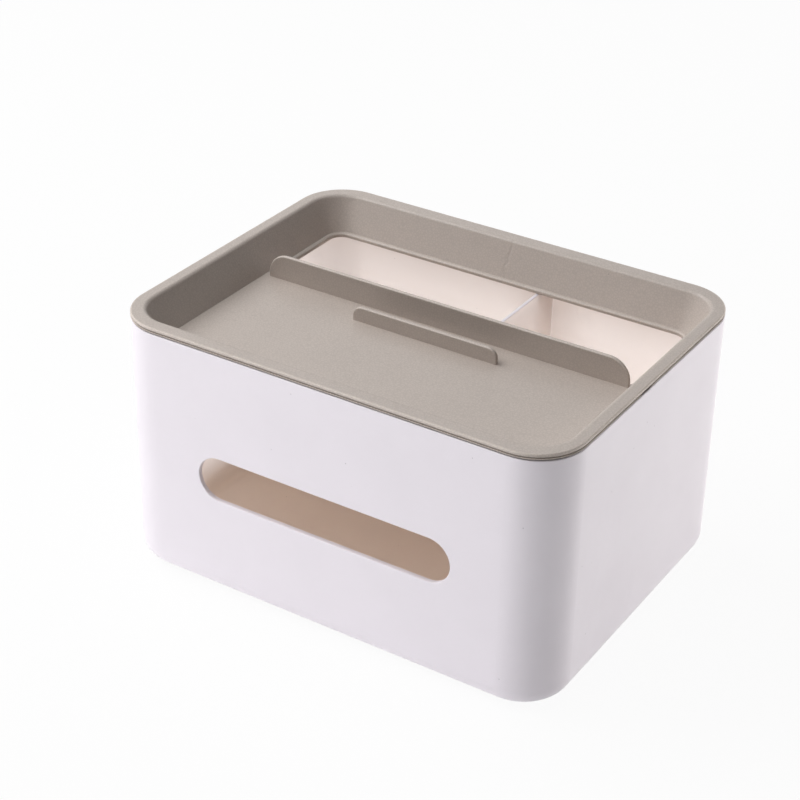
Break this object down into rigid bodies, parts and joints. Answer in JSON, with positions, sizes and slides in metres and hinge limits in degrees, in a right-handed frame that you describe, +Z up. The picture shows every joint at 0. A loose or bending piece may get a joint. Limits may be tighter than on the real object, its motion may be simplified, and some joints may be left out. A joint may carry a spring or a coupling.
{
  "type": "tissue box organizer",
  "caption": "Rounded box that gives tissues through a slot in its front, with a lift-off tray lid that has a phone rest and an opening over storage wells at the back.",
  "frame": {"origin": "middle of the footprint, on the table under the foot pads", "axes": "X runs along the slotted front to the right, Y goes from the slotted front to the back, Z is up"},
  "size_m": [0.24, 0.184, 0.137],
  "materials": {
    "white_plastic": "satin moulded white plastic",
    "taupe_plastic": "matte taupe plastic with a fine moulded grain",
    "pad_rubber": "matte grey rubber"
  },
  "bodies": {
    "base": {"outer_body": "white_plastic", "chamber_partition": "white_plastic", "well_divider": "white_plastic", "foot_pad_front_left": "pad_rubber", "foot_pad_front_right": "pad_rubber", "foot_pad_rear_left": "pad_rubber", "foot_pad_rear_right": "pad_rubber"},
    "lid": {"tray_lid": "taupe_plastic"}
  },
  "joints": [
    {"name": "lid_lift", "type": "slide", "parent": "base", "child": "lid", "axis": [0, 0, 1], "range_m": [0, 0.06]}
  ]
}
